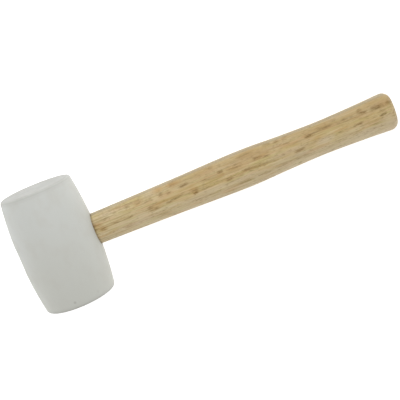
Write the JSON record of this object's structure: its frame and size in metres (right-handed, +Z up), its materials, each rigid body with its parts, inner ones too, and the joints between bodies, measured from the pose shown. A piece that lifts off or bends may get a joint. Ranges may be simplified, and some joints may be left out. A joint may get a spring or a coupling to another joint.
{
  "type": "rubber mallet",
  "caption": "Barrel-shaped white rubber mallet head with flat striking faces, on a contoured oval wooden handle wedged in a through eye.",
  "frame": {"origin": "on the bench under the middle of the mallet's box, as it lies on its side on the head's belly and the handle's butt", "axes": "+X from the head towards the handle's butt, level with the bench; +Y along the head's own axis, which is the striking axis; +Z up"},
  "size_m": [0.3418, 0.102, 0.0691],
  "materials": {
    "white_rubber": "matt moulded off-white rubber",
    "handle_wood": "clear-lacquered ash, straight grain",
    "wedge_wood": "bare hardwood",
    "wedge_steel": "plain rolled steel"
  },
  "bodies": {
    "root": {"rubber_head": "white_rubber", "handle": "handle_wood", "wood_wedge": "wedge_wood", "steel_wedge_1": "wedge_steel", "steel_wedge_2": "wedge_steel"}
  },
  "joints": []
}
